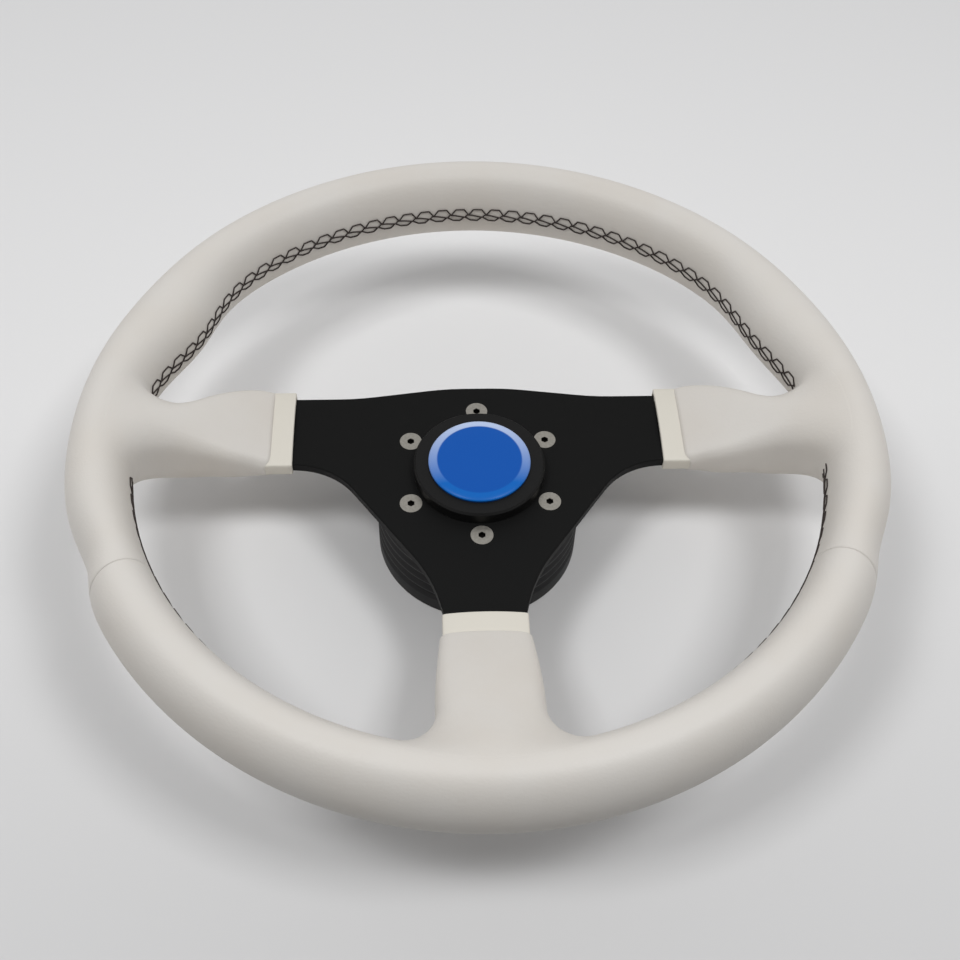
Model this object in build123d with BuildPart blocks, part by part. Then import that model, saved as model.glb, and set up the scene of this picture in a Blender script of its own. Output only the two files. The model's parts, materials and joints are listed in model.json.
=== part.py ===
from build123d import *
import os
from math import cos, sin, radians, exp

# Three-spoke steering wheel for a boat, in millimetres.
# Z is the shaft axis, the hub's foot stands on Z = 0 and +Y points to twelve o'clock.

# Rim: an upright oval section carried round the wheel
rim_radius = 175.0
grip_width = 27.4
grip_depth = 41.6
dish = 19.2
leather = 1.3

# Thumb rests swell inwards above the side spokes, waists are cut outside below them
thumb_swell = 7.4
thumb_angle = 25.5
thumb_spread = 7.2
waist_depth = 3.4
waist_angle = -22.0
waist_spread_above = 5.2
waist_spread_below = 3.0
waist_zone = (-40, -10, 12)
thumb_zone = (-10, 55, 13)

# Hub
hub_height = 44.8
sleeve_radius = 46.0
sleeve_wall = 2.6
sleeve_web = 3.0
rib_pitch = 5.8
rib_depth = 1.2
rib_start = 9.0
rib_count = 6
flange_thickness = 12.0
rib_share = 0.28
foot_radius = 22.0
foot_height = 18.0
foot_chamfer = 0.8
shaft_radius = 9.525
taper_per_mm = 1 / 24
taper_length = 37.0
key_width = 4.8
key_depth = 2.4
nut_recess_radius = 22.0
tapped_depth = 15.0

# Plate and its screws
plate_thickness = 4.0
plate_hole_radius = 22.5
plate_chamfer = 0.5
screw_circle = 70.0
screw_count = 6
screw_start = 30.0
screw_radius = 2.45
screw_head_radius = 4.9
screw_length = 16.0
screw_key = 3.0
screw_key_depth = 2.0
screw_clearance = 0.05

# Plate outline: two arms, a foot, a low crown on top and rounded inner corners
arm_end = 83.0
arm_top = 43.6
arm_low = 4.8
foot_end = 74.8
foot_half_width = 16.9
crown_rise = 5.7
crown_half_width = 14.0
crown_run = 28.0
crown_fillet = 120.0
neck_flare = 4.7
neck_run = 18.7
neck_fillet = 70.0
shoulder_run = 18.3
shoulder_drop = 1.5
shoulder_fillet = 33.0

# Arms inside the sleeves and the steel ring they are riveted to
tongue_rise = 9.0
tongue_root = 4.0
tongue_margin = 2.0
tongue_neck_run = 10.0
tongue_neck_drop = 8.0
tongue_bend_run = 13.0
tongue_level_gap = 21.6
tongue_overlap = 2.4
tongue_half_width = 8.0
tongue_side = 15.0
ring_tube_radius = 4.5
tab_thickness = 4.0
tab_gap = 18.6
rivet_radius = 2.4
rivet_head_radius = 4.4
rivet_head_height = 1.8
rivet_inset = 6.0
rivet_spacing = 10.0

# Spoke sleeves
lip_length = 9.5
lip_crown = 2.5
lip_edge = 0.6
lip_margin_low = 4.2
lip_margin_high = 4.1
lip_margin_foot = 1.9
lip_depth = 5.4
lip_round = 1.4
lip_overlap = 0.5
lip_inset = 2.2
step_height = 1.8
sleeve_depth = 8.0
sleeve_rise = 15.0
sleeve_sweep = 9.5
sleeve_lift = 8.5
sleeve_corner = 5.0
sleeve_corner_growth = 8.0
side_drop = 22.0
side_drop_from = 0.13
side_drop_over = 0.73
side_flare = 16.0
side_flare_from = 0.86
side_flare_over = 0.24
bottom_swell = 3.0
bottom_swell_over = 0.4
bottom_flare = 18.0
bottom_flare_from = 0.62
bottom_flare_over = 0.43
sleeve_overlap = 7.4
spoke_stations = 13

# Lacing
lace_thickness = 0.9
lace_width = 7.6
lace_lift = 2.2
lace_seat = 0.2
lace_step = 5.0
lace_end_upper = 11.5
lace_end_lower = -6.5
lace_end_bottom = -77.0
spoke_lace_width = 5.0
spoke_lace_start = 8.0
spoke_lace_gap = 11.6
spoke_lace_stations = 5

# Cap
cap_radius = 29.0
cap_height = 6.2
cap_bevel = 0.9
badge_radius = 22.5
badge_seat = 1.6
badge_wall = 0.9
badge_crown = 2.7
cap_clearance = 0.3
skirt_length = 9.0
skirt_wall = 3.6
cap_roof = 2.6
o_ring_radius = 1.2
o_ring_depth = 6.0
o_ring_gap = 0.15

plate_top = hub_height + plate_thickness
rim_z = plate_top + dish
rim_inner = rim_radius - grip_width
cap_top = plate_top + cap_height
flange_radius = sleeve_radius - sleeve_wall
crown_top = arm_top + crown_rise
side_start = arm_end + lip_length
bottom_start = foot_end + lip_length
sleeve_end = rim_inner + sleeve_overlap
tongue_bend = arm_end + tongue_bend_run
tongue_level = rim_inner - tongue_level_gap
tongue_end = rim_inner + tongue_overlap
tab_start = rim_inner - tab_gap


def smooth(value):
    """Zero below 0, one above 1, and an S between them."""
    value = min(max(value, 0.0), 1.0)
    return value * value * (3 - 2 * value)


def rim_limits(angle):
    """Inner and outer radius of the rim at an angle from three o'clock, right half."""
    swell = thumb_swell * exp(-(((angle - thumb_angle) / thumb_spread) ** 2) / 2)
    offset = angle - waist_angle
    spread = waist_spread_above if offset > 0 else waist_spread_below
    waist = waist_depth * exp(-((offset / spread) ** 2) / 2)
    return rim_inner - swell, rim_radius - waist


def rim_plane(angle):
    """Plane of the rim's section at an angle, centred on the section, and half the section's width."""
    inner, outer = rim_limits(angle)
    out = Vector(cos(radians(angle)), sin(radians(angle)), 0)
    along = Vector(-sin(radians(angle)), cos(radians(angle)), 0)
    centre = out * ((inner + outer) / 2) + Vector(0, 0, rim_z)
    return Plane(origin=centre, x_dir=out, z_dir=along), (outer - inner) / 2


def rim_solid(inset):
    """Rim with its surface moved inwards by inset: two plain arcs and a lofted length on each side."""
    with BuildPart() as ring:
        for first, last, steps in (waist_zone, thumb_zone):
            for step in range(steps + 1):
                plane, half_width = rim_plane(first + (last - first) * step / steps)
                with BuildSketch(plane):
                    Ellipse(half_width - inset, grip_depth / 2 - inset)
            loft()
        mirror(about=Plane.YZ)
        top_arc = 180 - 2 * thumb_zone[1]
        bottom_arc = -180 - 2 * waist_zone[0]
        for angle, arc in ((thumb_zone[1], top_arc), (waist_zone[0], bottom_arc)):
            plane, half_width = rim_plane(angle)
            with BuildSketch(plane):
                Ellipse(half_width - inset, grip_depth / 2 - inset)
            revolve(axis=Axis.Z, revolution_arc=arc)
    return ring.part


def side_limits(distance):
    """Low and high edge of a side sleeve at a distance from the axis, and its share of the way."""
    share = (distance - side_start) / (rim_inner - side_start)
    flare = side_flare * smooth((share - side_flare_from) / side_flare_over)
    low = arm_low - lip_margin_low - flare
    drop = side_drop * smooth((share - side_drop_from) / side_drop_over)
    high = arm_top + lip_margin_high - drop + flare
    return low, high, share


def bottom_limits(distance):
    """The same for the bottom sleeve, which has equal halves."""
    share = (distance - bottom_start) / (rim_inner - bottom_start)
    flare = bottom_flare * smooth((share - bottom_flare_from) / bottom_flare_over)
    swell = bottom_swell * smooth(share / bottom_swell_over)
    half = foot_half_width + lip_margin_foot + swell + flare
    return -half, half, share


def sleeve_heights(share):
    """Underside and top of a sleeve, which lead into the rim's."""
    top = plate_top + lip_crown + step_height + sleeve_rise * share + sleeve_sweep * share**3
    base = plate_top - sleeve_depth + sleeve_lift * share**3
    return base, top


def sleeve_solid(limits, start, towards, across, inset):
    """Spoke sleeve lofted from its mouth into the rim, with corners that soften outwards."""
    with BuildPart() as sleeve:
        for station in range(spoke_stations):
            distance = start + (sleeve_end - start) * station / (spoke_stations - 1)
            low, high, share = limits(distance)
            base, top = sleeve_heights(share)
            centre = towards * distance + across * ((low + high) / 2) + Vector(0, 0, (top + base) / 2)
            corner = sleeve_corner + sleeve_corner_growth * share
            with BuildSketch(Plane(origin=centre, x_dir=across, z_dir=towards)):
                RectangleRounded(high - low - 2 * inset, top - base - 2 * inset, corner - inset)
        loft()
    return sleeve.part


def lip_solid(low, high, start, end, towards, across):
    """Bare end of a sleeve: a short length with a crowned top that covers the plate's edge."""
    bottom = plate_top - lip_depth
    edge = plate_top + lip_edge
    face = Plane(origin=towards * start, x_dir=across, z_dir=towards)
    up = face.y_dir.Z
    mid = (low + high) / 2
    with BuildPart() as lip:
        with BuildSketch(face) as section:
            with BuildLine():
                ThreePointArc((low, up * edge), (mid, up * (plate_top + lip_crown)), (high, up * edge))
                Polyline((high, up * edge), (high, up * bottom), (low, up * bottom), (low, up * edge))
            make_face()
            fillet(section.vertices(), lip_round)
        extrude(amount=end - start)
    return lip.part


def wedge_solid(first, last):
    """Slice of space between two angles, taller and wider than the wheel."""
    reach = 3 * rim_radius
    with BuildPart() as wedge:
        with BuildSketch(Plane.XY.offset(-rim_z)):
            with BuildLine():
                Polyline(
                    (0, 0),
                    (reach * cos(radians(first)), reach * sin(radians(first))),
                    (reach * cos(radians((first + last) / 2)), reach * sin(radians((first + last) / 2))),
                    (reach * cos(radians(last)), reach * sin(radians(last))),
                    close=True,
                )
            make_face()
        extrude(amount=3 * rim_z)
    return wedge.part


right = Vector(1, 0, 0)
up_side = Vector(0, 1, 0)
down = Vector(0, -1, 0)

# Hub core: turned hub with a tapered shaft seat, a keyway and a recess for the shaft nut
with BuildPart() as hub_core:
    with BuildSketch(Plane.XZ) as profile:
        with BuildLine():
            Polyline(
                (shaft_radius, 0),
                (foot_radius, 0),
                (foot_radius, foot_height),
                (flange_radius, hub_height - flange_thickness),
                (flange_radius, hub_height),
                (nut_recess_radius, hub_height),
                (nut_recess_radius, taper_length),
                (shaft_radius - taper_length * taper_per_mm, taper_length),
                close=True,
            )
        make_face()
    revolve(axis=Axis.Z)
    with BuildSketch():
        with Locations((0, shaft_radius / 2 + key_depth / 2)):
            Rectangle(key_width, shaft_radius + key_depth)
    extrude(amount=taper_length, mode=Mode.SUBTRACT)
    with Locations(Plane.XY.offset(hub_height)):
        with PolarLocations(screw_circle / 2, screw_count, start_angle=screw_start):
            Hole(screw_radius + screw_clearance, depth=tapped_depth)
    foot_edge = hub_core.edges().filter_by(GeomType.CIRCLE).group_by(Axis.Z)[0].sort_by(SortBy.RADIUS)[-1]
    chamfer(foot_edge, foot_chamfer)
hub_core.part.label = "hub_core"

# Hub sleeve: thin collar with rings moulded round it and a web that grips the hub's foot
with BuildPart() as hub_sleeve:
    with BuildSketch(Plane.XZ):
        with BuildLine():
            outer = [(sleeve_radius, 0)]
            for rib in range(rib_count):
                height = rib_start + rib * rib_pitch
                outer += [
                    (sleeve_radius, height - rib_pitch * rib_share),
                    (sleeve_radius - rib_depth, height),
                    (sleeve_radius, height + rib_pitch * rib_share),
                ]
            outer.append((sleeve_radius, hub_height))
            Polyline(
                (foot_radius, 0),
                *outer,
                (sleeve_radius - sleeve_wall, hub_height),
                (sleeve_radius - sleeve_wall, sleeve_web),
                (foot_radius, sleeve_web),
                close=True,
            )
        make_face()
    revolve(axis=Axis.Z)
hub_sleeve.part.label = "hub_sleeve"

# Spoke plate: flat spider whose three tongues rise inside the sleeves
with BuildPart() as tongues:
    with BuildSketch() as side_plan:
        with BuildLine():
            Polyline(
                (arm_end - tongue_root, arm_low + tongue_margin),
                (arm_end - tongue_root, arm_top - tongue_margin),
                (arm_end + tongue_neck_run, arm_top - tongue_neck_drop),
                (tongue_level, tongue_side + tongue_half_width),
                (tongue_end, tongue_side + tongue_half_width),
                (tongue_end, tongue_side - tongue_half_width),
                (tongue_level, tongue_side - tongue_half_width),
                close=True,
            )
        make_face()
        mirror(about=Plane.YZ)
        with BuildLine():
            Polyline(
                (-foot_half_width + tongue_margin, -foot_end + tongue_root),
                (foot_half_width - tongue_margin, -foot_end + tongue_root),
                (tongue_half_width, -tongue_level),
                (tongue_half_width, -tongue_end),
                (-tongue_half_width, -tongue_end),
                (-tongue_half_width, -tongue_level),
                close=True,
            )
        make_face()
    extrude(amount=2 * rim_z)
    with BuildSketch(Plane.XZ) as rise_profile:
        with BuildLine():
            Polyline(
                (0, hub_height),
                (tongue_bend, hub_height),
                (tongue_level, hub_height + tongue_rise),
                (tongue_end, hub_height + tongue_rise),
                (tongue_end, plate_top + tongue_rise),
                (tongue_level, plate_top + tongue_rise),
                (tongue_bend, plate_top),
                (0, plate_top),
                close=True,
            )
        make_face()
    revolve(axis=Axis.Z, mode=Mode.INTERSECT)

with BuildPart() as spoke_plate:
    with BuildSketch(Plane.XY.offset(hub_height)):
        with BuildLine():
            FilletPolyline(
                (0, -foot_end),
                (foot_half_width, -foot_end),
                (foot_half_width + neck_flare, neck_run - foot_end),
                (arm_end - shoulder_run, arm_low - shoulder_drop),
                (arm_end, arm_low),
                (arm_end, arm_top),
                (arm_end - crown_run, arm_top),
                (crown_half_width, crown_top),
                (0, crown_top),
                radius=[0, neck_fillet, shoulder_fillet, 0, 0, crown_fillet, crown_fillet],
            )
            Line((0, crown_top), (0, -foot_end))
        make_face()
        mirror(about=Plane.YZ)
    extrude(amount=plate_thickness)
    chamfer(spoke_plate.faces().sort_by(Axis.Z)[-1].edges(), plate_chamfer)
    with Locations(Plane.XY.offset(plate_top)):
        Hole(plate_hole_radius)
        with PolarLocations(screw_circle / 2, screw_count, start_angle=screw_start):
            CounterSinkHole(screw_radius + 2 * screw_clearance, screw_head_radius + screw_clearance)
    add(tongues.part)
spoke_plate.part.label = "spoke_plate"

# Plate screws: countersunk socket screws
with BuildPart() as plate_screws:
    with BuildSketch(Plane.XZ):
        with BuildLine():
            Polyline(
                (0, plate_top),
                (screw_head_radius, plate_top),
                (screw_radius, plate_top - screw_head_radius + screw_radius),
                (screw_radius, plate_top - screw_length),
                (0, plate_top - screw_length),
                close=True,
            )
        make_face()
    revolve(axis=Axis.Z)
    with BuildSketch(Plane.XY.offset(plate_top)):
        RegularPolygon(screw_key / 2, 6, major_radius=False)
    extrude(amount=-screw_key_depth, mode=Mode.SUBTRACT)
single_screw = plate_screws.part
with BuildPart() as plate_screws:
    with PolarLocations(screw_circle / 2, screw_count, start_angle=screw_start):
        add(single_screw)
plate_screws.part.label = "plate_screws"

# Rim armature: steel ring with three welded tabs
tab_base = plate_top + tongue_rise
with BuildPart() as rim_armature:
    with BuildSketch(Plane.XZ):
        with Locations((rim_radius - grip_width / 2, tab_base + tab_thickness)):
            Circle(ring_tube_radius)
    revolve(axis=Axis.Z)
    with BuildSketch(Plane.XY.offset(tab_base)):
        tab_length = rim_radius - grip_width / 2 - tab_start
        for side in (-1, 1):
            with Locations((side * (tab_start + tab_length / 2), tongue_side)):
                Rectangle(tab_length, 2 * tongue_half_width)
        with Locations((0, -tab_start - tab_length / 2)):
            Rectangle(2 * tongue_half_width, tab_length)
    extrude(amount=tab_thickness)
rim_armature.part.label = "rim_armature"

# Armature rivets: two through each tongue and tab
rivet_first = tab_start + rivet_inset
rivet_low = hub_height + tongue_rise - rivet_head_height
rivet_span = plate_thickness + tab_thickness
rivet_spots = []
for reach in (rivet_first, rivet_first + rivet_spacing):
    rivet_spots += [(reach, tongue_side), (-reach, tongue_side), (0, -reach)]
shank_low = rivet_low + rivet_head_height
with BuildPart() as armature_rivets:
    for base, radius, height in (
        (rivet_low, rivet_head_radius, rivet_head_height),
        (shank_low, rivet_radius, rivet_span),
        (shank_low + rivet_span, rivet_head_radius, rivet_head_height),
    ):
        with BuildSketch(Plane.XY.offset(base)):
            with Locations(*rivet_spots):
                Circle(radius)
        extrude(amount=height)
armature_rivets.part.label = "armature_rivets"

for holed in (spoke_plate, rim_armature):
    label = holed.part.label
    with holed:
        with Locations(*[(x, y, rim_z) for x, y in rivet_spots]):
            Hole(rivet_radius, depth=2 * dish)
    holed.part.label = label


def dressed_solid(inset):
    """Rim and the three sleeves in one, with the surface moved inwards by inset."""
    side = sleeve_solid(side_limits, side_start, right, up_side, inset)
    with BuildPart() as form:
        add(rim_solid(inset))
        add([side, side.mirror(Plane.YZ), sleeve_solid(bottom_limits, bottom_start, down, right, inset)])
    return form.part


side_low, side_high, _ = side_limits(side_start)
foot_low, foot_high, _ = bottom_limits(bottom_start)
side_mouth = side_start + lip_overlap
foot_mouth = bottom_start + lip_overlap
side_lip = lip_solid(side_low + lip_inset, side_high - lip_inset, arm_end, side_mouth, right, up_side)
bottom_lip = lip_solid(foot_low + lip_inset, foot_high - lip_inset, foot_end, foot_mouth, down, right)

with BuildPart() as moulding:
    add(dressed_solid(leather))
    add([side_lip, side_lip.mirror(Plane.YZ), bottom_lip])

with BuildPart() as rim_core:
    add(moulding.part)
    add([spoke_plate.part, rim_armature.part, armature_rivets.part], mode=Mode.SUBTRACT)
rim_core.part.label = "rim_core"

dressed = dressed_solid(0)
lacing_seat = dressed_solid(-lace_seat)
lower_wedge = wedge_solid(180 - waist_angle, 360 + waist_angle)
with BuildPart() as leather_upper:
    add(dressed)
    add(moulding.part, mode=Mode.SUBTRACT)
    add(lower_wedge, mode=Mode.SUBTRACT)
leather_upper.part.label = "leather_upper"

with BuildPart() as leather_lower:
    add(dressed)
    add(moulding.part, mode=Mode.SUBTRACT)
    add(lower_wedge, mode=Mode.INTERSECT)
leather_lower.part.label = "leather_lower"


def rim_lace(first, last):
    """Flat band of lacing along the rim's inner wall between two angles, right half."""
    steps = round((last - first) / lace_step)
    with BuildPart() as lace:
        for step in range(steps + 1):
            angle = first + (last - first) * step / steps
            plane, half_width = rim_plane(angle)
            with BuildSketch(plane):
                with Locations((lace_thickness - half_width, lace_lift)):
                    Rectangle(4 * lace_thickness, lace_width)
        loft()
        add(lacing_seat, mode=Mode.SUBTRACT)
    return lace.part


def spoke_lace(limits, start, towards, across):
    """Flat band of lacing along the underside of a sleeve."""
    with BuildPart() as lace:
        for station in range(spoke_lace_stations):
            first = start + spoke_lace_start
            last = rim_inner - spoke_lace_gap
            distance = first + (last - first) * station / (spoke_lace_stations - 1)
            low, high, share = limits(distance)
            base = sleeve_heights(share)[0]
            centre = towards * distance + across * ((low + high) / 2) + Vector(0, 0, base)
            with BuildSketch(Plane(origin=centre, x_dir=across, z_dir=towards)):
                Rectangle(spoke_lace_width, 2 * lace_thickness)
        loft()
        add(lacing_seat, mode=Mode.SUBTRACT)
    return lace.part


# Lacing that closes the leather round the rim and under each spoke
with BuildPart() as lacing_top:
    add(rim_lace(lace_end_upper, 90))
    mirror(about=Plane.YZ)
lacing_top.part.label = "lacing_top"

with BuildPart() as lacing_right:
    add(rim_lace(lace_end_bottom, lace_end_lower))
lacing_right.part.label = "lacing_right"

with BuildPart() as lacing_left:
    add(lacing_right.part.mirror(Plane.YZ))
lacing_left.part.label = "lacing_left"

with BuildPart() as lacing_spoke_right:
    add(spoke_lace(side_limits, side_start, right, up_side))
lacing_spoke_right.part.label = "lacing_spoke_right"

with BuildPart() as lacing_spoke_left:
    add(lacing_spoke_right.part.mirror(Plane.YZ))
lacing_spoke_left.part.label = "lacing_spoke_left"

with BuildPart() as lacing_spoke_bottom:
    add(spoke_lace(bottom_limits, bottom_start, down, right))
lacing_spoke_bottom.part.label = "lacing_spoke_bottom"

# Cap body: bevelled disc with a seat for the badge and a skirt that plugs into the hub
skirt_radius = nut_recess_radius - cap_clearance
skirt_end = plate_top - skirt_length
badge_floor = cap_top - badge_seat
groove_height = plate_top - o_ring_depth
groove_radius = nut_recess_radius - o_ring_gap - 2 * o_ring_radius
with BuildPart() as cap_body:
    with BuildSketch(Plane.XZ):
        with BuildLine():
            Polyline(
                (0, badge_floor),
                (badge_radius, badge_floor),
                (badge_radius, cap_top),
                (cap_radius - cap_bevel, cap_top),
                (cap_radius, cap_top - cap_bevel),
                (cap_radius, plate_top),
                (skirt_radius, plate_top),
                (skirt_radius, groove_height + o_ring_radius),
                (groove_radius, groove_height + o_ring_radius),
                (groove_radius, groove_height - o_ring_radius),
                (skirt_radius, groove_height - o_ring_radius),
                (skirt_radius, skirt_end),
                (skirt_radius - skirt_wall, skirt_end),
                (skirt_radius - skirt_wall, badge_floor - cap_roof),
                (0, badge_floor - cap_roof),
                close=True,
            )
        make_face()
    revolve(axis=Axis.Z)
cap_body.part.label = "cap_body"

# Cap O-ring: fills the groove of the skirt
with BuildPart() as cap_o_ring:
    with BuildSketch(Plane.XZ):
        with Locations((groove_radius + o_ring_radius, groove_height)):
            Circle(o_ring_radius)
    revolve(axis=Axis.Z)
cap_o_ring.part.label = "cap_o_ring"

# Cap badge: low dome with a rounded edge
with BuildPart() as cap_badge:
    with BuildSketch(Plane.XZ):
        with BuildLine():
            badge_top = (0, cap_top + badge_crown)
            badge_edge = (badge_radius, cap_top + badge_wall)
            Polyline(badge_top, (0, badge_floor), (badge_radius, badge_floor), badge_edge)
            Spline(
                badge_edge,
                badge_top,
                tangents=[(0, 1), (-1, 0)],
                tangent_scalars=[0.25, 1.6],
            )
        make_face()
    revolve(axis=Axis.Z)
cap_badge.part.label = "cap_badge"

made = [
    hub_core, hub_sleeve, spoke_plate, plate_screws, rim_armature, armature_rivets,
    rim_core, leather_upper, leather_lower, lacing_top, lacing_left, lacing_right,
    lacing_spoke_left, lacing_spoke_right, lacing_spoke_bottom, cap_body, cap_badge, cap_o_ring,
]

os.makedirs("parts", exist_ok=True)
for piece in made:
    export_step(piece.part, f"parts/{piece.part.label}.step")
    print(piece.part.label, len(piece.part.solids()), round(piece.part.volume), piece.part.is_valid)
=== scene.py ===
import json
import math
import bmesh
import bpy
import numpy as np
from mathutils import Matrix, Vector


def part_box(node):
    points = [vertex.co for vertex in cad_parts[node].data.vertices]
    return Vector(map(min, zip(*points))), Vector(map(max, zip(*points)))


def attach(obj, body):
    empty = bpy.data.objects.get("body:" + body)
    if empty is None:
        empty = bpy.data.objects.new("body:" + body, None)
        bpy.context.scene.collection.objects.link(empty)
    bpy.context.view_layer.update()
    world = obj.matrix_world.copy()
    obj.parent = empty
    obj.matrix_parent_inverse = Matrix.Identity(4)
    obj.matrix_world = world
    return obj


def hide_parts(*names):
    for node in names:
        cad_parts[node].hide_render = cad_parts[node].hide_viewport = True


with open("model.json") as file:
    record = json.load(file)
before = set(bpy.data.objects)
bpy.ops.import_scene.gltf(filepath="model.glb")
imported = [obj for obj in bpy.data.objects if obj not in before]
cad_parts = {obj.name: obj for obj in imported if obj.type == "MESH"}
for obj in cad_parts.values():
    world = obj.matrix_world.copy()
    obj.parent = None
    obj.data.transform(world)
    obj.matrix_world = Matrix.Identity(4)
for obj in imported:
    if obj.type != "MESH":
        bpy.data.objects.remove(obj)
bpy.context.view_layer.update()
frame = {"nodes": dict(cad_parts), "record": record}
print("frame loaded")


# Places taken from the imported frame, in metres
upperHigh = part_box("leather_upper")[1]
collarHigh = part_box("hub_sleeve")[1]
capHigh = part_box("cap_body")[1]
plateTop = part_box("plate_screws")[1].z


# Rim: an upright oval section whose inner and outer limits change round the wheel; angles in degrees
rim = {
    "outerRadius": upperHigh.x, "gripWidth": 0.0268, "gripDepth": 0.0394, "lean": 2.0,
    "midHeight": upperHigh.z - 0.0198,
    "swells": [(24.8, 0.0062, 8.4), (153.2, 0.0075, 7.4)],
    "waists": [(-21.6, 0.0030, 3.6, 5.2), (202.2, 0.0039, 5.2, 3.0)],
    "seams": (-27.0, 207.0), "seamWidth": 0.0011, "seamDepth": 0.0006, "seamRows": 6, "seamClosing": 0.3,
    "stepDegrees": 0.5, "around": 96,
}
rimInner = rim["outerRadius"] - rim["gripWidth"]


# Distance in degrees from one angle to another, the short way round: ((a - b + 180) mod 360) - 180
def turnBetween(angle, other):
    return (angle - other + 180.0) % 360.0 - 180.0


# Inner and outer radius of the rim: plain radii less a bell exp(-(t / spread)^2 / 2) per swell and waist
def rimLimits(theta):
    inner = np.full(np.shape(theta), rimInner)
    outer = np.full(np.shape(theta), rim["outerRadius"])
    for centre, height, spread in rim["swells"]:
        inner = inner - height * np.exp(-((turnBetween(theta, centre) / spread) ** 2) / 2)
    for centre, depth, before, after in rim["waists"]:
        turn = turnBetween(theta, centre)
        outer = outer - depth * np.exp(-((turn / np.where(turn < 0, before, after)) ** 2) / 2)
    return inner, outer


# Point of the rim's skin: an oval (a cos(phi), b sin(phi)), leaning inwards a little, set on its radius
# and turned by theta; the lean narrows the oval so that it still fills the width between its limits
def rimPoint(theta, phi, inset=0.0):
    inner, outer = rimLimits(theta)
    lean = np.radians(rim["lean"])
    tall = rim["gripDepth"] / 2
    wide = np.sqrt(((outer - inner) / 2) ** 2 - (tall * np.sin(lean)) ** 2) / np.cos(lean)
    across = (wide - inset) * np.cos(phi)
    upwards = (tall - inset) * np.sin(phi)
    radius = (inner + outer) / 2 + across * np.cos(lean) - upwards * np.sin(lean)
    height = rim["midHeight"] + across * np.sin(lean) + upwards * np.cos(lean)
    turn = np.radians(theta)
    return np.stack(np.broadcast_arrays(radius * np.cos(turn), radius * np.sin(turn), height), -1)


# Quads between neighbouring points of a grid, which may wrap round either way
def gridFaces(rows, columns, wrapRows, wrapColumns):
    i = np.arange(rows if wrapRows else rows - 1)
    j = np.arange(columns if wrapColumns else columns - 1)
    i, j = np.meshgrid(i, j, indexing="ij")
    nextI, nextJ = (i + 1) % rows, (j + 1) % columns
    corners = [i * columns + j, nextI * columns + j, nextI * columns + nextJ, i * columns + nextJ]
    return np.stack(corners, -1).reshape(-1, 4)


# One mesh object from several point grids; each grid is (points, wraps along rows, wraps along columns)
def makeObject(name, grids, material, body, nodes):
    points = []
    faces = []
    count = 0
    for grid, wrapRows, wrapColumns in grids:
        rows, columns = grid.shape[:2]
        faces.append(gridFaces(rows, columns, wrapRows, wrapColumns) + count)
        points.append(grid.reshape(-1, 3))
        count += rows * columns
    mesh = bpy.data.meshes.new(name)
    mesh.from_pydata(np.concatenate(points).tolist(), [], np.concatenate(faces).tolist())
    work = bmesh.new()
    work.from_mesh(mesh)
    bmesh.ops.remove_doubles(work, verts=work.verts, dist=1e-7)
    bmesh.ops.recalc_face_normals(work, faces=work.faces)
    work.to_mesh(mesh)
    work.free()
    mesh.polygons.foreach_set("use_smooth", np.ones(len(mesh.polygons), bool))
    mesh.materials.append(material)
    made = bpy.data.objects.new(name, mesh)
    bpy.context.scene.collection.objects.link(made)
    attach(made, body)
    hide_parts(*nodes)
    print(name, len(mesh.polygons), "faces")
    return made


# Tube of a given radius carried along a path: p + r (cos(a) side + sin(a) normal), with closed ends
def tubeGrid(path, normals, radius, sides=6):
    along = np.gradient(path, axis=0)
    along /= np.linalg.norm(along, axis=1, keepdims=True)
    side = np.cross(along, normals)
    side /= np.linalg.norm(side, axis=1, keepdims=True)
    up = np.cross(side, along)
    angle = np.linspace(0, 2 * np.pi, sides, endpoint=False)[None, :, None]
    ring = path[:, None] + radius * (np.cos(angle) * side[:, None] + np.sin(angle) * up[:, None])
    first = np.repeat(path[:1, None], sides, axis=1)
    last = np.repeat(path[-1:, None], sides, axis=1)
    return np.concatenate([first, ring, last]), False, True


# Surface of revolution: (r cos(a), r sin(a), z) for each profile point
def revolveGrid(profile, steps=160):
    profile = np.asarray(profile, float)
    angle = np.linspace(0, 2 * np.pi, steps, endpoint=False)[None, :]
    radius = profile[:, :1]
    height = np.repeat(profile[:, 1:], steps, axis=1)
    return np.stack([radius * np.cos(angle), radius * np.sin(angle), height], -1), False, True


# Arc from one direction to another: c + r (cos(a), sin(a))
def roundPoints(centre, radius, startDegrees, endDegrees, steps=6):
    angle = np.radians(np.linspace(startDegrees, endDegrees, steps))
    return np.stack([centre[0] + radius * np.cos(angle), centre[1] + radius * np.sin(angle)], -1)


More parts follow.
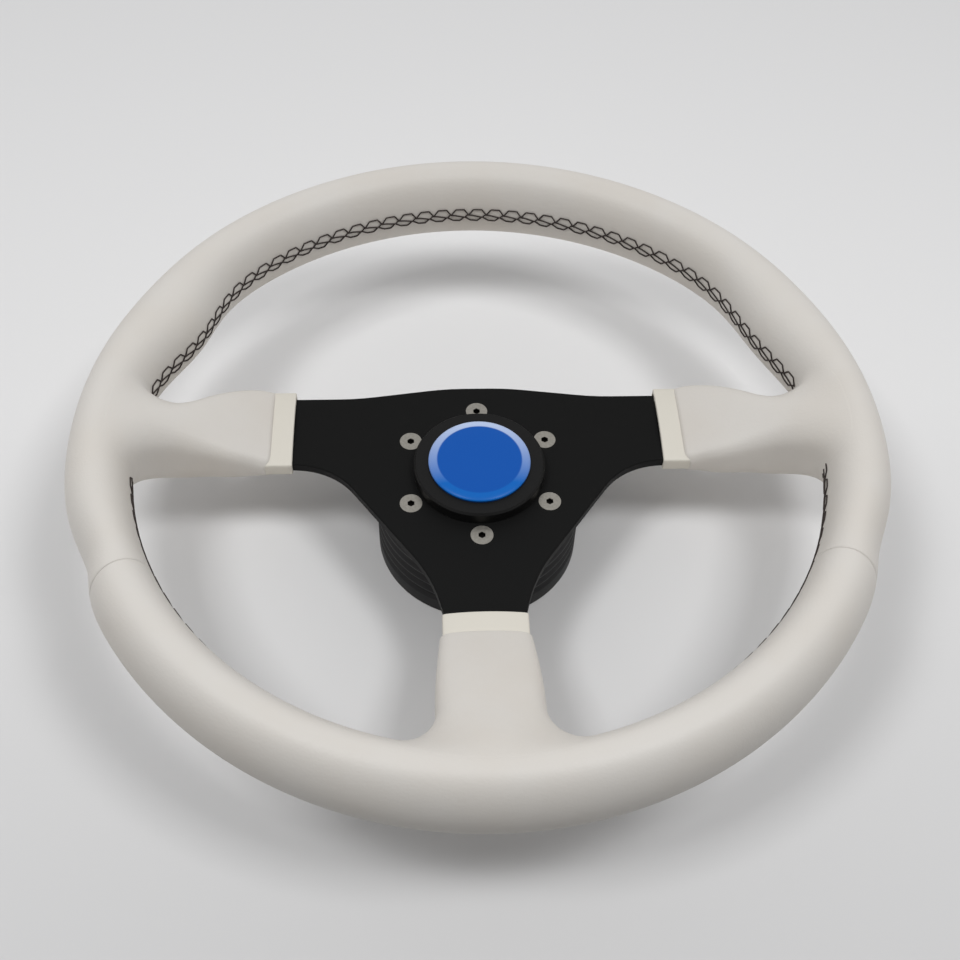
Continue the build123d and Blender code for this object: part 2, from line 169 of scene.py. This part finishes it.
# A shader socket with arithmetic, so that a + b, 2 * a and 1 - a each add one Math node
class Wire:
    def __init__(self, tree, socket=None):
        self.tree = tree
        self.socket = socket

    # Any node: its type, the output wanted, its settings, and its sockets by name, or by number as at0
    def node(self, kind, output, settings=None, **inputs):
        made = self.tree.nodes.new(kind)
        for key, value in (settings or {}).items():
            setattr(made, key, value)
        for key, value in inputs.items():
            target = made.inputs[int(key[2:])] if key.startswith("at") else made.inputs[key.replace("_", " ")]
            if isinstance(value, Wire):
                self.tree.links.new(value.socket, target)
            else:
                target.default_value = value
        return Wire(self.tree, made.outputs[output])

    def math(self, operation, first, second):
        return self.node("ShaderNodeMath", 0, {"operation": operation}, at0=first, at1=second)

    def __add__(self, other):
        return self.math("ADD", self, other)

    def __radd__(self, other):
        return self.math("ADD", other, self)

    def __sub__(self, other):
        return self.math("SUBTRACT", self, other)

    def __rsub__(self, other):
        return self.math("SUBTRACT", other, self)

    def __mul__(self, other):
        return self.math("MULTIPLY", self, other)

    def __rmul__(self, other):
        return self.math("MULTIPLY", other, self)

    def atLeast(self, least):
        return self.math("MAXIMUM", self, least)

    # A colour that goes from one where this is 0 to the other where it is 1
    def mixed(self, zero, one):
        return self.node("ShaderNodeMix", 2, {"data_type": "RGBA"}, at0=self, at6=zero, at7=one)

    # A number about a middle value, for a noise that lies about 0.5
    def waver(self, middle, spread):
        return middle + spread * (self - 0.5)

    def ramp(self, low, high, style="SMOOTHSTEP"):
        return self.node("ShaderNodeMapRange", 0, {"interpolation_type": style},
                         Value=self, From_Min=low, From_Max=high)

    def along(self, direction):
        return self.node("ShaderNodeVectorMath", 1, {"operation": "DOT_PRODUCT"}, at0=self, at1=direction)

    def noise(self, scale, detail=2.0):
        return self.node("ShaderNodeTexNoise", "Fac", None, Vector=self, Scale=scale, Detail=detail)

    def bump(self, distance):
        return self.node("ShaderNodeBump", 0, None, Height=self, Distance=distance, Strength=1.0)

    def into(self, shader, name):
        self.tree.links.new(self.socket, shader.inputs[name])


# A Principled material with its constants on the shader's own sockets; gives it, the shader
# and the Object coordinates
def newMaterial(name, colour, roughness, **constants):
    material = bpy.data.materials.new(name)
    material.use_nodes = True
    shader = material.node_tree.nodes["Principled BSDF"]
    shader.inputs["Base Color"].default_value = (*colour[:3], 1)
    shader.inputs["Roughness"].default_value = roughness
    for key, value in constants.items():
        shader.inputs[key.replace("_", " ")].default_value = value
    return material, shader, Wire(material.node_tree).node("ShaderNodeTexCoord", "Object")


# Leather: fine grain over a coarser one, faint broad patches of warmer tone
leather = {
    "pale": (0.60, 0.577, 0.545, 1), "warm": (0.585, 0.555, 0.515, 1),
    "patch": 22.0, "patchRange": (0.35, 0.7), "roughness": 0.52, "waver": 0.12, "waverScale": 285.0,
    "grain": 950.0, "coarse": 332.5, "coarseShare": 0.6, "depth": 0.00007,
}


def makeLeather():
    material, shader, place = newMaterial("rimLeather", leather["pale"], leather["roughness"])
    patches = place.noise(leather["patch"], 3).ramp(*leather["patchRange"])
    patches.mixed(leather["pale"], leather["warm"]).into(shader, "Base Color")
    grain = place.noise(leather["grain"]) + leather["coarseShare"] * place.noise(leather["coarse"])
    place.noise(leather["waverScale"]).waver(leather["roughness"], leather["waver"]).into(shader, "Roughness")
    grain.bump(leather["depth"]).into(shader, "Normal")
    return material


# Finishes of one colour with a fine grain: the bare polyurethane of the lips, the thread, the moulded blacks
grained = {
    "foam": {"name": "bareFoam", "colour": (0.615, 0.588, 0.525), "roughness": 0.5, "specular": 0.5,
             "grain": 300, "detail": 3, "depth": 0.00005},
    "thread": {"name": "lacingThread", "colour": (0.028, 0.018, 0.015), "roughness": 0.7, "specular": 0.5,
               "grain": 2500, "detail": 2, "depth": 0.0001},
    "collar": {"name": "collarBlack", "colour": (0.010, 0.010, 0.0105), "roughness": 0.5, "specular": 0.25,
               "grain": 1100, "detail": 2, "depth": 0.00003},
    "cap": {"name": "capBlack", "colour": (0.0045, 0.0045, 0.0045), "roughness": 0.5, "specular": 0.2,
            "grain": 1400, "detail": 2, "depth": 0.00003},
}


def makeGrained(look):
    material, shader, place = newMaterial(look["name"], look["colour"], look["roughness"],
                                          Specular_IOR_Level=look["specular"])
    place.noise(look["grain"], look["detail"]).bump(look["depth"]).into(shader, "Normal")
    return material


# Satin black plate
plate = {
    "colour": (0.0030, 0.0031, 0.0031), "roughness": 0.56, "specular": 0.13, "waver": 0.12, "waverScale": 900,
    "grain": 1600, "depth": 0.00002,
}


def makePlateBlack():
    material, shader, place = newMaterial("plateBlack", plate["colour"], plate["roughness"],
                                          Specular_IOR_Level=plate["specular"])
    place.noise(plate["waverScale"]).waver(plate["roughness"], plate["waver"]).into(shader, "Roughness")
    place.noise(plate["grain"]).bump(plate["depth"]).into(shader, "Normal")
    return material


# Stainless heads, warm grey, with painted shade, near black, inside the sockets; the depth under the plate's
# face tells them apart
screws = {
    "dull": (0.30, 0.285, 0.25, 1), "bright": (0.50, 0.48, 0.44, 1), "wear": 900,
    "socket": (0.012, 0.011, 0.010, 1), "socketShadeFrom": 0.0002, "socketShadeTo": 0.0010,
    "roughness": 0.41, "waver": 0.22, "waverScale": 700,
}


def makeStainless():
    material, shader, place = newMaterial("stainless", screws["dull"], screws["roughness"], Metallic=1.0)
    face = place.along((0, 0, 1)).ramp(plateTop - screws["socketShadeTo"], plateTop - screws["socketShadeFrom"])
    worn = place.noise(screws["wear"], 3).mixed(screws["dull"], screws["bright"])
    # Painted shade: the sockets below the heads' face take a near-black colour
    (1 - face).mixed(worn, screws["socket"]).into(shader, "Base Color")
    place.noise(screws["waverScale"], 3).waver(screws["roughness"], screws["waver"]).into(shader, "Roughness")
    return material


# Bare metals that stay out of sight in most views
bareMetal = {
    "aluminium": {"name": "hubAluminium", "colour": (0.60, 0.61, 0.62), "roughness": 0.4},
    "steel": {"name": "frameSteel", "colour": (0.40, 0.40, 0.40), "roughness": 0.4},
}
bareMetalWaver = {"spread": 0.1, "scale": 400}


def makeBareMetal(look):
    material, shader, place = newMaterial(look["name"], look["colour"], look["roughness"], Metallic=1.0)
    shine = place.noise(bareMetalWaver["scale"], 3).waver(look["roughness"], bareMetalWaver["spread"])
    shine.into(shader, "Roughness")
    return material


# Badge: blue field inside a rim, with a painted highlight that pales the rim from blue at six o'clock to near
# white at twelve
badge = {
    "fieldRadius": 0.0187, "softness": 0.0004, "blue": (0.004, 0.079, 0.375, 1),
    "rimLow": (0.004, 0.115, 0.45, 1), "rimHighlight": (0.44, 0.53, 0.74, 1), "highlightFrom": -0.013, "highlightTo": 0.021,
    "wall": (0.003, 0.025, 0.11, 1), "wallFrom": 0.0002, "wallTo": 0.0013,
    "roughness": 0.35, "specular": 0.15,
}


def makeBadgeBlue():
    material, shader, place = newMaterial("badgeBlue", badge["blue"], badge["roughness"],
                                          Specular_IOR_Level=badge["specular"])
    flat = place.node("ShaderNodeVectorMath", 0, {"operation": "MULTIPLY"}, at0=place, at1=(1, 1, 0))
    reach = place.node("ShaderNodeVectorMath", 1, {"operation": "LENGTH"}, at0=flat)
    edge = reach.ramp(badge["fieldRadius"] - badge["softness"], badge["fieldRadius"] + badge["softness"])
    # Painted highlight: the rim's colour pales towards +y, up to near white at twelve o'clock
    highlightShare = place.along((0, 1, 0)).ramp(badge["highlightFrom"], badge["highlightTo"], "LINEAR")
    top = edge.mixed(badge["blue"], highlightShare.mixed(badge["rimLow"], badge["rimHighlight"]))
    upper = place.along((0, 0, 1)).ramp(capHigh.z + badge["wallFrom"], capHigh.z + badge["wallTo"])
    upper.mixed(badge["wall"], top).into(shader, "Base Color")
    return material


materials = {
    "leather": makeLeather(), "plate": makePlateBlack(),
    "stainless": makeStainless(), "badge": makeBadgeBlue(),
    **{key: makeGrained(look) for key, look in grained.items()},
    **{key: makeBareMetal(look) for key, look in bareMetal.items()},
}
slotMaterials = {
    "cast_aluminium": "aluminium", "rivet_aluminium": "aluminium", "frame_steel": "steel",
    "stainless": "stainless", "black_plate": "plate", "black_plastic": "collar", "white_foam": "foam",
    "white_leather": "leather", "brown_thread": "thread", "cap_plastic": "cap", "black_rubber": "cap",
    "blue_badge": "badge",
}
for subpart in frame["record"]["subparts"]:
    mesh = frame["nodes"][subpart["node"]].data
    mesh.materials.clear()
    mesh.materials.append(materials[slotMaterials[subpart["material_slot"]]])
print("materials made")


# Sleeves: what the three share, then where each starts, its limits along the spoke and its spread on to the
# rim; each limit is (shares of the way from mouth to rim, values there)
sleeve = {
    "lipLength": 0.0095, "lipCrown": 0.0025, "step": 0.0010, "edgeRound": 0.0013, "square": 4.0,
    "crown": (0.0015, 0.0028), "corner": (0.0055, 0.0090), "cornerLimit": 0.99, "grownAt": 0.7,
    "slantUntil": 0.5, "slantPower": 3,
    "blendFrom": 0.66, "baseSpread": 78.0, "footPower": 3.6, "footStep": 1.001,
    "mouthDepth": 0.001, "mouthInset": 1.6, "sunkReach": 1.05, "sunkInset": 0.0004,
    "around": 128, "mouthRows": 7, "straightRows": 26, "rootRows": 34,
}
side = {
    "start": 0.0925, "rise": 0.0305, "slant": 0.0025, "highTurn": 11.8, "topSpread": 74.0,
    "high": ([0, 0.1, 0.2, 0.3, 0.4, 0.5, 0.6, 0.7, 0.8],
             [0.0480, 0.0473, 0.0454, 0.0428, 0.0394, 0.0352, 0.0303, 0.0265, 0.0240]),
    "depth": ([0, 0.3, 1.0], [0.0086, 0.0095, 0.0095]),
    "lip": (0.0036, 0.0472, 0.0063),
}
foot = {
    "start": 0.0843, "rise": 0.0300, "slant": 0.0, "lowTurn": -14.2, "highTurn": 14.2, "topSpread": 76.0,
    "low": ([0, 0.4, 1.0], [-0.0188, -0.0210, -0.0210]),
    "high": ([0, 0.4, 1.0], [0.0188, 0.0210, 0.0210]),
    "depth": ([0, 1.0], [0.0080, 0.0080]),
    "lip": (-0.0178, 0.0178, 0.0048),
}
spokes = {
    "right": dict(side, towards=(1, 0), across=(0, 1), angle=0.0, sign=1, lowTurn=-7.4,
                  low=([0, 0.1, 0.3, 0.5, 0.7, 1.0], [0.0030, 0.0026, 0.0008, 0.0002, -0.0012, -0.0028])),
    "left": dict(side, towards=(-1, 0), across=(0, 1), angle=180.0, sign=-1, lowTurn=-6.1,
                 low=([0, 0.1, 0.3, 0.5, 0.7, 1.0], [0.0030, 0.0030, 0.0022, 0.0020, 0.0012, -0.0004])),
    "bottom": dict(foot, towards=(0, -1), across=(1, 0), angle=270.0, sign=1),
}


# S-shaped step from 0 to 1: 3 t^2 - 2 t^3
def smoothStep(value):
    value = np.clip(value, 0, 1)
    return value * value * (3 - 2 * value)


# Smooth line through given values: between two of them the cubic h00 a + h10 sa + h01 b + h11 sb
def through(marks, values, share):
    marks, values = np.asarray(marks, float), np.asarray(values, float)
    slopes = np.gradient(values, marks)
    share = np.clip(share, marks[0], marks[-1])
    index = np.clip(np.searchsorted(marks, share, side="right") - 1, 0, len(marks) - 2)
    span = marks[index + 1] - marks[index]
    t = (share - marks[index]) / span
    line = (2 * t**3 - 3 * t**2 + 1) * values[index] + (t**3 - 2 * t**2 + t) * span * slopes[index]
    return line + (3 * t**2 - 2 * t**3) * values[index + 1] + (t**3 - t**2) * span * slopes[index + 1]


# Soft box about (0, 0), its top crowned by c (y / w)^2:
# (w - r) tanh(k cos t) + r cos t sideways and (h - r) tanh(k sin t) + r sin t upwards
def softBox(width, height, corner, crown, turn):
    square = sleeve["square"]
    sideways = (width - corner) * np.tanh(square * np.cos(turn)) + corner * np.cos(turn)
    upwards = (height - corner) * np.tanh(square * np.sin(turn)) + corner * np.sin(turn)
    return sideways, upwards - crown * (sideways / width) ** 2 * np.clip(upwards / height, 0, 1)


# Point at a distance along a spoke and a place across it: distance * towards + sideways * across, at a height
def spokePoint(spoke, distance, sideways, height):
    x = spoke["towards"][0] * distance + spoke["across"][0] * sideways
    y = spoke["towards"][1] * distance + spoke["across"][1] * sideways
    return np.stack(np.broadcast_arrays(x, y, height), -1)


# Section of a sleeve at a distance along its spoke: a soft box between its limits, its low side set back at
# the mouth by slant * max(-cos t, 0)^n
def sectionPoint(spoke, distance, turn, inset=0.0):
    share = (distance - spoke["start"]) / (rimInner - spoke["start"])
    low, high, depth = (through(*spoke[key], share) for key in ("low", "high", "depth"))
    grown = smoothStep(share / sleeve["grownAt"])
    crown, corner = (first + (last - first) * grown for first, last in (sleeve["crown"], sleeve["corner"]))
    top = plateTop + sleeve["lipCrown"] + sleeve["step"] + spoke["rise"] * share
    base = plateTop - depth
    width = (high - low) / 2 - inset
    height = (top - base) / 2 - inset
    corner = np.minimum(corner, height * sleeve["cornerLimit"]) - inset
    sideways, upwards = softBox(width, height, corner, crown, turn)
    lowSide = np.clip(-np.cos(turn), 0, 1) ** sleeve["slantPower"]
    distance = distance + spoke["slant"] * lowSide * (1 - smoothStep(share / sleeve["slantUntil"]))
    return spokePoint(spoke, distance, (high + low) / 2 + sideways, (top + base) / 2 + upwards)


# Point on the rim round a spoke's foot: |u|^n + |v|^n = 1 in the rim's own angles, grown by k
def footPoint(spoke, turn, k, inset=0.0):
    middle = (spoke["lowTurn"] + spoke["highTurn"]) / 2
    half = (spoke["highTurn"] - spoke["lowTurn"]) / 2
    power = sleeve["footPower"]
    reach = k * (np.abs(np.cos(turn)) ** power + np.abs(np.sin(turn)) ** power) ** (-1 / power)
    theta = spoke["angle"] + spoke["sign"] * (middle + reach * half * np.cos(turn))
    spread = np.where(np.sin(turn) > 0, spoke["topSpread"], sleeve["baseSpread"])
    phi = np.radians(180 - reach * spread * np.sin(turn))
    return rimPoint(theta, phi, inset)


# Sleeve from its rolled mouth to the rim; the root is the cubic h00 P0 + h10 T0 + h01 P1 + h11 T1
def sleeveGrid(spoke):
    turn = np.linspace(0, 2 * np.pi, sleeve["around"], endpoint=False)[None, :]
    start = spoke["start"]
    end = start + sleeve["blendFrom"] * (rimInner - start)
    roll = np.radians(np.linspace(0, 90, sleeve["mouthRows"]))[:, None]
    roundness = sleeve["edgeRound"]
    behind = np.full((1, 1), start + sleeve["mouthDepth"])
    inside = sectionPoint(spoke, behind, turn, roundness * sleeve["mouthInset"])
    mouth = sectionPoint(spoke, start + roundness * (1 - np.cos(roll)), turn, roundness * (1 - np.sin(roll)))
    straightSteps = np.linspace(start + roundness, end, sleeve["straightRows"])[1:, None]
    straight = sectionPoint(spoke, straightSteps, turn)
    p0 = straight[-1:]
    t0 = (straight[-1:] - straight[-2:-1])
    t0 = t0 / np.linalg.norm(t0, axis=-1, keepdims=True)
    p1 = footPoint(spoke, turn, 1.0)
    t1 = footPoint(spoke, turn, sleeve["footStep"]) - p1
    t1 = t1 / np.linalg.norm(t1, axis=-1, keepdims=True)
    chord = np.linalg.norm(p1 - p0, axis=-1, keepdims=True)
    t = np.linspace(0, 1, sleeve["rootRows"])[1:, None, None]
    root = (2 * t**3 - 3 * t**2 + 1) * p0 + (t**3 - 2 * t**2 + t) * t0 * chord
    root = root + (3 * t**2 - 2 * t**3) * p1 + (t**3 - t**2) * t1 * chord
    sunk = footPoint(spoke, turn, sleeve["sunkReach"], sleeve["sunkInset"])
    return np.concatenate([inside, mouth, straight, root, sunk]), False, True


# Rim skin between two angles, its ends rolled in where the panels meet: inset = d (1 - sqrt(1 - f^2)),
# with f = 1 - distance from the seam / its width
def rimGrid(first, last):
    rows = np.linspace(first, last, int(round((last - first) / rim["stepDegrees"])) + 1)
    edge = np.degrees(rim["seamWidth"] / rim["outerRadius"]) * np.linspace(0, 1, rim["seamRows"])[:-1]
    rows = np.concatenate([first + edge, rows[1:-1], last - edge[::-1]])
    away = np.radians(np.minimum(rows - first, last - rows)) * rim["outerRadius"]
    fall = np.clip(1 - away / rim["seamWidth"], 0, 1)
    inset = rim["seamDepth"] * (1 - np.sqrt(1 - fall**2))
    phi = np.linspace(0, 2 * np.pi, rim["around"], endpoint=False)[None, :]
    skin = rimPoint(rows[:, None], phi, inset[:, None])
    closingInset = rim["gripWidth"] * rim["seamClosing"]
    closing = [rimPoint(np.full((1, 1), angle), phi, closingInset) for angle in (first, last)]
    return np.concatenate([closing[0], skin, closing[1]]), False, True


seamRight, seamLeft = rim["seams"]
panels = {
    "rimLeatherUpper": ("leather_upper", [rimGrid(seamRight, seamLeft), sleeveGrid(spokes["right"]),
                                          sleeveGrid(spokes["left"])]),
    "rimLeatherLower": ("leather_lower", [rimGrid(seamLeft, seamRight + 360), sleeveGrid(spokes["bottom"])]),
}
for name, (node, grids) in panels.items():
    skin = makeObject(name, grids, materials["leather"], "wheel", [node])


# Bare lips: a soft box with round ends, from the plate's tongue to under the leather
lip = {
    "cover": 0.0045, "round": 0.0006, "corner": 0.0016, "endInset": 0.0014, "straightFrom": 0.002,
    "around": 96, "roundRows": 6, "straightRows": 8,
}


# Rows of a lip along its spoke, each a distance and an inset: flat end, quarter round (r (1 - cos a),
# r (1 - sin a)), straight part, flat end
def lipRows(near, far):
    roll = np.radians(np.linspace(0, 90, lip["roundRows"]))[:, None]
    straight = np.linspace(near + lip["straightFrom"], far, lip["straightRows"])[:, None]
    distance = np.concatenate([[[near]], near + lip["round"] * (1 - np.cos(roll)), straight, [[far]]])
    ends = [[lip["endInset"]]]
    inset = np.concatenate([ends, lip["round"] * (1 - np.sin(roll)), np.zeros_like(straight), ends])
    return distance, inset


# Lip: the soft box of its limits at each row, less the row's inset
def lipGrid(spoke):
    turn = np.linspace(0, 2 * np.pi, lip["around"], endpoint=False)[None, :]
    distance, inset = lipRows(spoke["start"] - sleeve["lipLength"], spoke["start"] + lip["cover"])
    low, high, depth = spoke["lip"]
    top = plateTop + sleeve["lipCrown"]
    width = (high - low) / 2 - inset
    height = (top - plateTop + depth) / 2 - inset
    sideways, upwards = softBox(width, height, lip["corner"] - inset, sleeve["crown"][0], turn)
    middle = (top + plateTop - depth) / 2
    return spokePoint(spoke, distance, (high + low) / 2 + sideways, middle + upwards), False, True


lipGrids = [lipGrid(spoke) for spoke in spokes.values()]
makeObject("bareLips", lipGrids, materials["foam"], "wheel", ["rim_core"])


# Lacing: three strands that cross at every pitch, in degrees round the rim.
# Each strand is (shares of a pitch, heights there as shares of half the band's height)
lacing = {
    "pitch": 3.40, "pitchSteps": 20, "middle": -0.0004, "half": 0.0037, "thread": 0.00038, "lift": 0.0002,
    "strands": [
        ([0, 0.26, 0.74, 1.0], [0.1, 1.0, 1.0, 0.1]),
        ([0, 0.07, 0.21, 0.26, 0.5, 0.75, 1.0], [0.08, 0.1, -0.3, -0.3, -0.15, 0, 0.08]),
        ([0, 0.21, 0.26, 0.5, 0.88, 1.0], [-0.65, -0.3, -0.3, -0.92, -0.85, -0.65]),
    ],
    "runs": {
        "lacingTop": ("lacing_top", 12.0, 168.8),
        "lacingRight": ("lacing_right", 283.0, 353.4),
        "lacingLeft": ("lacing_left", 186.6, 257.0),
    },
}


# Strand on the rim's inner wall: phi = pi - asin(height / half depth), lifted a little off the skin
def strandGrid(first, last, strand):
    steps = int(round((last - first) / lacing["pitch"])) * lacing["pitchSteps"]
    theta = np.linspace(first, last, steps + 1)
    share = ((theta - first) / lacing["pitch"]) % 1.0
    height = lacing["middle"] + lacing["half"] * np.interp(share, *strand)
    phi = np.pi - np.arcsin(height / (rim["gripDepth"] / 2))
    path = rimPoint(theta, phi, -lacing["lift"])
    normals = rimPoint(theta, phi, -0.001) - rimPoint(theta, phi, 0.0)
    return tubeGrid(path, normals, lacing["thread"])


for name, (node, first, last) in lacing["runs"].items():
    strands = [strandGrid(first, last, strand) for strand in lacing["strands"]]
    makeObject(name, strands, materials["thread"], "wheel", [node])


# Collar: a profile turned round the shaft, of radius R - d (1 - cos(2 pi z / pitch)) / 2 where the ribs run
collar = {
    "ribs": (0.0075, 0.0430), "pitch": 0.0058, "depth": 0.0012, "ribSteps": 140,
    "wall": 0.0026, "base": 0.003, "opening": 0.022, "edge": 0.001, "edgeFrom": -60,
}


def makeCollar():
    radius, top = collarHigh.x, collarHigh.z
    opening, edge, base = collar["opening"], collar["edge"], collar["base"]
    low, high = collar["ribs"]
    height = np.linspace(low, high, collar["ribSteps"])
    ribbed = radius - collar["depth"] * (1 - np.cos(2 * np.pi * (height - low) / collar["pitch"])) / 2
    under = [(opening, 0.0), (radius - edge, 0.0)]
    lowerEdge = roundPoints((radius - edge, edge), edge, collar["edgeFrom"], 0)
    inner = radius - collar["wall"]
    inside = [(radius, top), (inner, top), (inner, base), (opening, base), (opening, 0.0)]
    profile = np.concatenate([under, lowerEdge, np.stack([ribbed, height], -1), inside])
    grid = revolveGrid(profile)
    makeObject("hubCollar", [grid], materials["collar"], "wheel", ["hub_sleeve"])


makeCollar()


# Studio: a pale floor, darker in front with painted shade for light that falls off towards the front; two
# soft lamps; a sky brighter behind and at the sides. Camera, reflections and glass see the floor's grey; the
# light that it throws on to the wheel takes the bounce's colours, painted darker in front and brighter behind
studio = {
    "floorSize": 8.0, "floorRoughness": 0.8,
    "floorNear": (0.565, 0.565, 0.57, 1), "floorFar": (0.72, 0.72, 0.725, 1), "floorRange": (-0.22, 0.08),
    "bounceNear": (0.32, 0.315, 0.31, 1), "bounceFar": (0.92, 0.885, 0.85, 1), "bounceRange": (-0.22, -0.08),
    "seenBy": ("Is Camera Ray", "Is Glossy Ray", "Is Transmission Ray"),
    "world": (1.0, 1.0, 1.0, 1), "worldStrength": 0.48,
    "skyBase": 0.79, "skyBehind": 0.68, "skySides": 0.66, "skyLeast": 0.03,
    "lampPower": 9.3, "lampSize": 0.42, "lampPlaces": [(-0.612, -0.31, 1.53), (0.612, -0.31, 1.53)],
}


def makeFloor():
    half = studio["floorSize"] / 2
    corners = [(-half, -half, 0), (half, -half, 0), (half, half, 0), (-half, half, 0)]
    mesh = bpy.data.meshes.new("floor")
    mesh.from_pydata(corners, [], [(0, 1, 2, 3)])
    material, shader, place = newMaterial("floorPale", studio["floorNear"], studio["floorRoughness"])
    back = place.along((0, 1, 0))
    # Painted shade: the floor that the camera sees darkens towards the front, for light falling off there
    seen = back.ramp(*studio["floorRange"], "LINEAR").mixed(studio["floorNear"], studio["floorFar"])
    # Painted shade and light: the floor throws darker light on to the wheel from in front and brighter light
    # from behind
    bounce = back.ramp(*studio["bounceRange"], "LINEAR").mixed(studio["bounceNear"], studio["bounceFar"])
    camera, glossy, transmission = (place.node("ShaderNodeLightPath", ray) for ray in studio["seenBy"])
    (camera + glossy + transmission).mixed(bounce, seen).into(shader, "Base Color")
    mesh.materials.append(material)
    floor = bpy.data.objects.new("floor", mesh)
    bpy.context.scene.collection.objects.link(floor)


# Sky: strength (base + behind y + sides x^2), never under its least
def makeSky():
    world = bpy.data.worlds.new("studio")
    bpy.context.scene.world = world
    world.use_nodes = True
    background = world.node_tree.nodes["Background"]
    background.inputs["Color"].default_value = studio["world"]
    outlook = Wire(world.node_tree).node("ShaderNodeTexCoord", "Generated")
    sideways, backwards = outlook.along((1, 0, 0)), outlook.along((0, 1, 0))
    sky = studio["skyBase"] + studio["skyBehind"] * backwards + studio["skySides"] * (sideways * sideways)
    (studio["worldStrength"] * sky.atLeast(studio["skyLeast"])).into(background, "Strength")


# Lamps turn their faces to the wheel's foot
def makeLamps():
    for spot in studio["lampPlaces"]:
        light = bpy.data.lights.new("softbox", "AREA")
        light.shape = "SQUARE"
        light.size = studio["lampSize"]
        light.energy = studio["lampPower"]
        lamp = bpy.data.objects.new("softbox", light)
        lamp.location = spot
        lamp.rotation_euler = (-Vector(spot)).to_track_quat("-Z", "Y").to_euler()
        bpy.context.scene.collection.objects.link(lamp)


makeFloor()
makeSky()
makeLamps()
print("studio made")


# Camera at the photograph's angle: azimuth, elevation and roll in degrees
view = {
    "azimuth": -3.65, "elevation": 52.08, "roll": 2.06, "distance": 0.6399,
    "target": (0.0026, 0.0327, 0.0), "lens": 49.05, "sensor": 36,
}
azimuth, elevation, roll = (math.radians(view[key]) for key in ("azimuth", "elevation", "roll"))
outward = math.cos(elevation)
back = Vector((math.sin(azimuth) * outward, -math.cos(azimuth) * outward, math.sin(elevation)))
level = Vector((0, 0, 1)).cross(back).normalized()
upright = back.cross(level)
rightward = level * math.cos(roll) + upright * math.sin(roll)
upward = upright * math.cos(roll) - level * math.sin(roll)
cameraData = bpy.data.cameras.new("camera")
cameraData.lens = view["lens"]
cameraData.sensor_width = view["sensor"]
camera = bpy.data.objects.new("camera", cameraData)
bpy.context.scene.collection.objects.link(camera)
turned = Matrix((rightward, upward, back)).transposed().to_4x4()
camera.matrix_world = Matrix.Translation(Vector(view["target"]) + back * view["distance"]) @ turned
bpy.context.scene.camera = camera
bpy.context.scene.view_settings.view_transform = "Standard"
print("camera placed")
